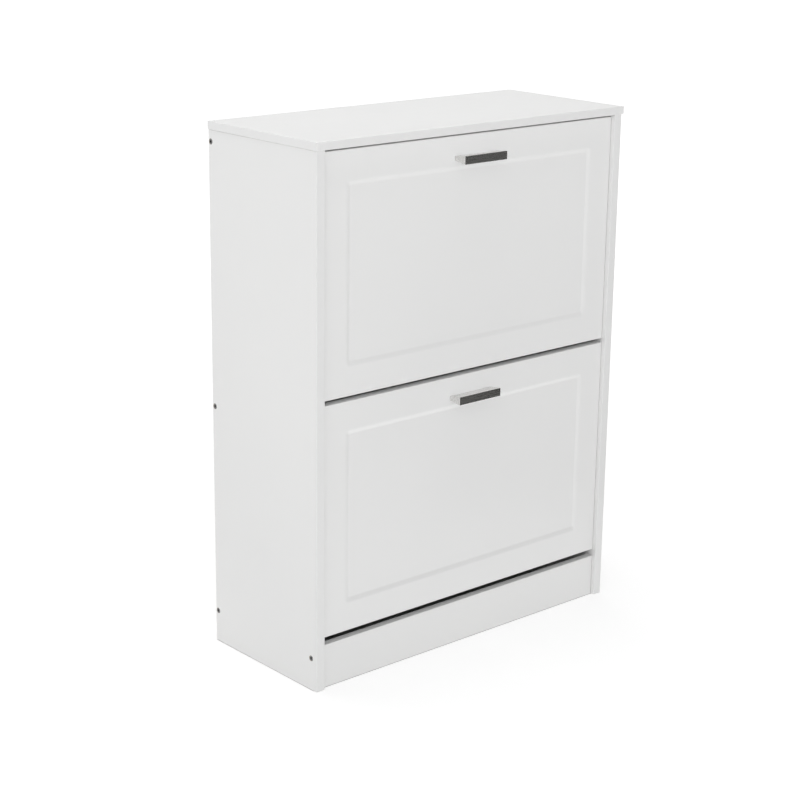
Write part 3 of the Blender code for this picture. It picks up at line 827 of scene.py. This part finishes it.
def rack_cheek(door, side, sign):
    """A moulded side cheek: ribbed outside, grooved inside for the rack boards, flanged at the door."""
    node = f"{door}_rack_cheek_{side}"
    body = f"{door}_door"
    pivot = PIVOTS[body]
    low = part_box(node)[0]
    outer, flange_end = ends(node, sign)
    inner = outer - sign * CHEEK_THICK
    shape = bmesh.new()
    outline = [(outer, pivot.y + y, pivot.z + z) for y, z in cheek_outline(low.y - pivot.y)]
    rims = add_prism(shape, outline, (inner - outer, 0, 0))
    soften(shape, rims, CHEEK_ROUND, 2)
    cheek = shown(f"{node}_detail", shape, [PLASTIC])
    carve(cheek, cheek_flange(low, pivot, (inner + outer) / 2, flange_end), "UNION")
    for part in ("floor", "divider", "back"):
        carve(cheek, board_groove(f"{door}_rack_{part}", inner, sign))
    stop_low, stop_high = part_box(f"{door}_stop_pin_{side}")
    stop_radius = (stop_high.y - stop_low.y) / 2
    carve(cheek, cheek_openings(pivot, math.radians(OPEN_DEGREES[body]), stop_radius, outer, inner, sign))
    settle(cheek, body, node)


# ---------------------------------------------------------------- fasteners and pins

def cut_cross(piece, length, width, depth, taper=1.0):
    """Cuts a cross into the face at Z = 0, one bar at a time, since a cutter must not cross itself."""
    for x, y in ((length, width), (width, length)):
        bar = bmesh.new()
        for vert in add_box(bar, (-x / 2, -y / 2, -OVERSHOOT), (x / 2, y / 2, depth)):
            if vert.co.z > 0:
                vert.co.x *= taper
                vert.co.y *= taper
        carve(piece, bar)


def shank_profile(head_height, radius, length):
    """Ridges stand in for the thread, from under the head to a tapered tip."""
    core = radius - THREAD_DEPTH
    taper = length - TIP_LENGTH_IN_RADII * radius
    points = [(core, head_height)]
    z = head_height + THREAD_PITCH
    while z < taper:
        points += [(core, z), (radius, z + THREAD_PITCH / 2)]
        z += THREAD_PITCH
    return points + [(core, taper), (0, length)]


def panel_screw_pattern():
    """A flat-headed furniture screw with a hexagon socket. Its head starts at Z = 0."""
    edge = 0.3 * PANEL_HEAD_EDGE
    head = [(0, 0), (PANEL_HEAD - PANEL_HEAD_EDGE, 0), (PANEL_HEAD - edge, edge),
            (PANEL_HEAD, PANEL_HEAD_EDGE), (PANEL_HEAD, PANEL_HEAD_HEIGHT - PANEL_HEAD_TAPER),
            (PANEL_THREAD, PANEL_HEAD_HEIGHT)]
    shank = shank_profile(PANEL_HEAD_HEIGHT, PANEL_THREAD, PANEL_LENGTH)
    screw = turned_mesh("panel_screw_pattern", head + shank, ZINC)
    radius = HEX_ACROSS_FLATS / math.sqrt(3)
    outline = [(*polar(radius, math.tau * step / 6), -OVERSHOOT) for step in range(6)]
    hexagon = bmesh.new()
    add_prism(hexagon, outline, (0, 0, OVERSHOOT + HEX_DEPTH))
    carve(screw, hexagon)
    return screw


def small_screw_pattern(name, radius, length):
    """A pan-headed screw with a cross recess."""
    head = []
    for degrees in range(0, 91, 15):
        angle = math.radians(degrees)
        drop = SMALL_HEAD_HEIGHT * SMALL_HEAD_DOME * (1 - math.cos(angle))
        head.append((SMALL_HEAD * math.sin(angle), drop))
    head += [(SMALL_HEAD, SMALL_HEAD_HEIGHT), (radius, SMALL_HEAD_HEIGHT)]
    screw = turned_mesh(name, head + shank_profile(SMALL_HEAD_HEIGHT, radius, length), ZINC)
    cut_cross(screw, CROSS_LENGTH, CROSS_WIDTH, CROSS_DEPTH, CROSS_TAPER)
    return screw


def facing(place, direction):
    """Turns a pattern's Z axis to a direction and moves it to a place."""
    return Matrix.Translation(place) @ Vector(direction).to_track_quat("Z", "Y").to_matrix().to_4x4()


def panel_screws():
    """Long screws, driven in through the side panels."""
    places = []
    for side, sign in SIDES:
        for rail in RAILS:
            node = f"panel_screw_{side}_{rail}"
            place = middle(node)
            place.x = ends(node, sign)[0]
            places.append((node, "carcass", facing(place, (-sign, 0, 0))))
    copies(panel_screw_pattern(), places)


def door_screws(name, endings, radius, length):
    """Short screws, driven forward into each door from behind."""
    places = []
    for door in DOORS:
        for ending in endings:
            node = f"{door}_{ending}"
            place = middle(node)
            place.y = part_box(node)[1].y
            places.append((node, f"{door}_door", facing(place, FRONT)))
    copies(small_screw_pattern(name, radius, length), places)


def screws():
    panel_screws()
    cheek_endings = [f"cheek_screw_{side}_{level}" for side, _ in SIDES for level in ("low", "high")]
    handle_endings = [f"handle_screw_{side}" for side, _ in SIDES]
    door_screws("rack_screw_pattern", cheek_endings, RACK_THREAD, RACK_LENGTH)
    door_screws("handle_screw_pattern", handle_endings, HANDLE_THREAD, HANDLE_SCREW_LENGTH)


def chamfered(radius, start, end):
    """The outer points of a turned cylinder with a chamfer at each end."""
    return [(radius - CHAMFER, start), (radius, start + CHAMFER),
            (radius, end - CHAMFER), (radius - CHAMFER, end)]


def pivot_profile():
    """A shaft sunk in the side panel, with a collar between the panel and the rack's cheek."""
    outer, inner = ends("upper_pivot_pin_left", -1)
    length = inner - outer
    sunk = ends("left_side_panel", -1)[1] - outer
    shaft = chamfered(PIVOT_RADIUS, 0, length)
    collar = chamfered(COLLAR_RADIUS, sunk + GAP, sunk + COLLAR_REACH)
    return ([(0, 0)] + shaft[:2] + [(PIVOT_RADIUS, sunk + GAP)] + collar
            + [(PIVOT_RADIUS, sunk + COLLAR_REACH)] + shaft[2:] + [(0, length)])


def stop_profile():
    """A plain shaft as long as the pivot pin."""
    outer, inner = ends("upper_pivot_pin_left", -1)
    length = inner - outer
    return [(0, 0)] + chamfered(STOP_RADIUS, 0, length) + [(0, length)]


def pins():
    """Collared pivot pins and plain stop pins, sunk in the side panels."""
    for kind, profile in (("pivot", pivot_profile()), ("stop", stop_profile())):
        places = []
        for door in DOORS:
            for side, sign in SIDES:
                node = f"{door}_{kind}_pin_{side}"
                place = middle(node)
                place.x = ends(node, sign)[0]
                places.append((node, "carcass", facing(place, (-sign, 0, 0))))
        copies(turned_mesh(f"{kind}_pin_pattern", profile, ZINC), places)


def cam_disc_pattern():
    """A cast disc with a notch for the bolt's head and a driver slot in its face."""
    outer, inner = ends("cam_disc_left_front", -1)
    depth = inner - outer
    radius = half_height("cam_disc_left_front")
    bolt_depth = inner - middle("cam_bolt_left_front").x
    disc = turned_mesh("cam_disc_pattern", [(0, 0)] + chamfered(radius, 0, depth) + [(0, depth)], CAST)
    notch = bmesh.new()
    add_box(notch, (-radius - OVERSHOOT, -NOTCH_HALF_WIDTH, bolt_depth - NOTCH_HALF_WIDTH),
            (NOTCH_END, NOTCH_HALF_WIDTH, depth + OVERSHOOT))
    carve(disc, notch)
    cut_cross(disc, CAM_SLOT_LENGTH, CAM_SLOT_WIDTH, CAM_SLOT_DEPTH)
    return disc


def cam_bolt_pattern():
    """A waisted bolt: a head that the cam disc grips, a thin neck and a thread in the top board."""
    low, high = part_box("cam_bolt_left_front")
    length = high.z - low.z
    shoulder = length - BOLT_THREAD_LENGTH
    head = [(0, 0), (BOLT_RADIUS - CHAMFER, 0), (BOLT_RADIUS, CHAMFER), (BOLT_RADIUS, BOLT_HEAD_HEIGHT),
            (BOLT_NECK_RADIUS, BOLT_HEAD_HEIGHT + CHAMFER)]
    shank = [(BOLT_NECK_RADIUS, shoulder)] + shank_profile(shoulder, BOLT_RADIUS, length)
    return turned_mesh("cam_bolt_pattern", head + shank, ZINC)


def cam_fittings():
    """Four discs in the side panels, turned so that their notches face up, and the bolts they pull."""
    disc_places = []
    bolt_places = []
    for side, sign in SIDES:
        for row in CAM_ROWS:
            node = f"cam_disc_{side}_{row}"
            place = middle(node)
            place.x = ends(node, sign)[1]
            turn = Matrix.Translation(place) @ Matrix.Rotation(0 if sign > 0 else math.pi, 4, "Z")
            disc_places.append((node, "carcass", turn @ Matrix.Rotation(math.pi / 2, 4, "Y")))
            node = f"cam_bolt_{side}_{row}"
            place = middle(node)
            place.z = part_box(node)[0].z
            bolt_places.append((node, "carcass", Matrix.Translation(place)))
    copies(cam_disc_pattern(), disc_places)
    copies(cam_bolt_pattern(), bolt_places)


# ---------------------------------------------------------------- studio

def floor_finish(name, albedo):
    """Matt pale floor paint with a faint mottle."""
    finish = Finish(name, 0.9, specular=0.0)
    shade = tuple(channel * 0.985 for channel in albedo)
    finish.colour(finish.ramp(finish.noise(6.0, 3.0), ((0.35, shade), (0.65, albedo))))
    return finish


def glowing_sweep():
    """The pale floor, lit from within, more so where the lamps do not reach, and most of all behind."""
    finish = floor_finish("sweep", (0.60, 0.60, 0.60))
    around = finish.node("ShaderNodeVectorMath", operation="LENGTH")
    behind = finish.node("ShaderNodeVectorMath", operation="DOT_PRODUCT")
    behind.inputs[1].default_value = BEHIND_DIRECTION
    for distance in (around, behind):
        finish.link(finish.coords, distance.inputs[0])
    glow = finish.node("ShaderNodeMath", operation="MAXIMUM")
    finish.link(finish.remap(around.outputs["Value"], GLOW_NEAR, GLOW_AROUND, AROUND_REACH), glow.inputs[0])
    finish.link(finish.remap(behind.outputs["Value"], GLOW_NEAR, GLOW_BEHIND, BEHIND_REACH), glow.inputs[1])
    finish.link(glow.outputs["Value"], finish.shader.inputs["Emission Strength"])
    finish.shader.inputs["Emission Color"].default_value = (1, 1, 1, 1)
    return finish.material


def add_floor():
    """A pale sweep, overlit like a cut-out studio, except inside the footprint: darker there, as painted
    shade.
    """
    low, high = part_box("left_side_panel")[0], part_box("right_side_panel")[1]
    shape = bmesh.new()
    xs = (-FLOOR_HALF, low.x, high.x, FLOOR_HALF)
    ys = (-FLOOR_HALF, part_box("plinth")[0].y, high.y, FLOOR_HALF)
    grid = [[shape.verts.new((x, y, -FLOOR_DROP)) for y in ys] for x in xs]
    for column in range(3):
        left, right = grid[column], grid[column + 1]
        for row in range(3):
            face = shape.faces.new((left[row], right[row], right[row + 1], left[row + 1]))
            if column == 1 and row == 1:
                face.material_index = PAINTED_SHADE_INDEX
    glowing = glowing_sweep()
    # Inside the cabinet's footprint the floor is painted darker and does not glow: painted shade.
    shaded = floor_finish("painted_shade_floor", (0.45, 0.45, 0.45)).material
    floor = shown("floor", shape, (glowing, shaded))


def add_flag():
    """A square matt dark card that only shows in polished metal."""
    shape = bmesh.new()
    half = FLAG_SIZE / 2
    corners = ((-half, -half), (half, -half), (half, half), (-half, half))
    shape.faces.new([shape.verts.new((x, 0, z)) for x, z in corners])
    card = Finish("flag_felt", 1.0, specular=0.0)
    felt = ((0.3, (0.055, 0.055, 0.053)), (0.7, (0.085, 0.085, 0.082)))
    card.colour(card.ramp(card.noise(300.0, 3.0), felt))
    flag = shown("dark_flag", shape, [card.material])
    flag.location = FLAG_CENTRE
    flag.rotation_euler = (Vector(FLAG_TARGET) - Vector(FLAG_CENTRE)).to_track_quat("Y", "Z").to_euler()
    flag.visible_camera = False
    flag.visible_diffuse = False
    flag.visible_shadow = False
    flag.visible_transmission = False


def add_world():
    """A dim studio above a thin white horizon."""
    world = bpy.data.worlds.new("studio")
    world.use_nodes = True
    tree = world.node_tree
    coords = tree.nodes.new("ShaderNodeTexCoord")
    split = tree.nodes.new("ShaderNodeSeparateXYZ")
    band = tree.nodes.new("ShaderNodeValToRGB")
    band.color_ramp.elements[0].position = HORIZON_WHITE
    band.color_ramp.elements[0].color = (1, 1, 1, 1)
    band.color_ramp.elements[1].position = HORIZON_GREY
    band.color_ramp.elements[1].color = (WORLD_GREY, WORLD_GREY, WORLD_GREY, 1)
    tree.links.new(coords.outputs["Generated"], split.inputs["Vector"])
    tree.links.new(split.outputs["Z"], band.inputs["Fac"])
    tree.links.new(band.outputs["Color"], tree.nodes["Background"].inputs["Color"])
    bpy.context.scene.world = world
    bpy.context.scene.view_settings.view_transform = "Standard"


add_camera()
carcass_boards()
for door in DOORS:
    door_panel(door)
    handle(door)
    rack_boards(door)
    for side, sign in SIDES:
        rack_cheek(door, side, sign)
screws()
pins()
cam_fittings()

add_floor()
add_world()
for lamp in LAMPS:
    soft_light(*lamp)
add_flag()
